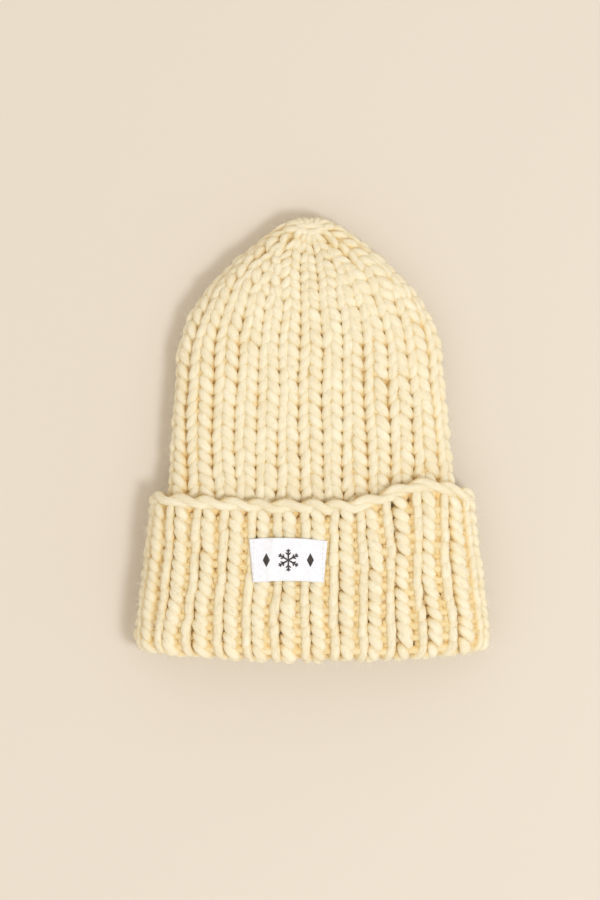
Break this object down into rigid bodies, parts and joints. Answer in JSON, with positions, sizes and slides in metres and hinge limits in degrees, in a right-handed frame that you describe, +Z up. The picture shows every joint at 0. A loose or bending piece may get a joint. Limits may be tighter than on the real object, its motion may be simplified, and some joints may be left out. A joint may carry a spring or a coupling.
{
  "type": "knit beanie",
  "caption": "Chunky ribbed wool beanie lying flat, with a deep turned-up cuff, a gathered crown and a small sewn-on woven label.",
  "frame": {"origin": "middle of the hat's footprint, on the surface that it lies on", "axes": "+Z up from the surface, +Y from the brim to the tip of the crown, +X across the hat"},
  "size_m": [0.222, 0.279, 0.0529],
  "materials": {
    "wool_knit": "matte",
    "label_cloth": "satin",
    "motif_thread": "satin",
    "sewing_thread": "satin"
  },
  "bodies": {
    "root": {"ribbed_body": "wool_knit", "crown": "wool_knit", "crown_gather_yarn": "wool_knit", "cuff_fold": "wool_knit", "turned_up_cuff": "wool_knit", "cast_on_edge": "wool_knit", "woven_label": "label_cloth", "label_snowflake": "motif_thread", "label_diamond_left": "motif_thread", "label_diamond_right": "motif_thread", "label_thread_left": "sewing_thread", "label_thread_right": "sewing_thread"}
  },
  "joints": []
}
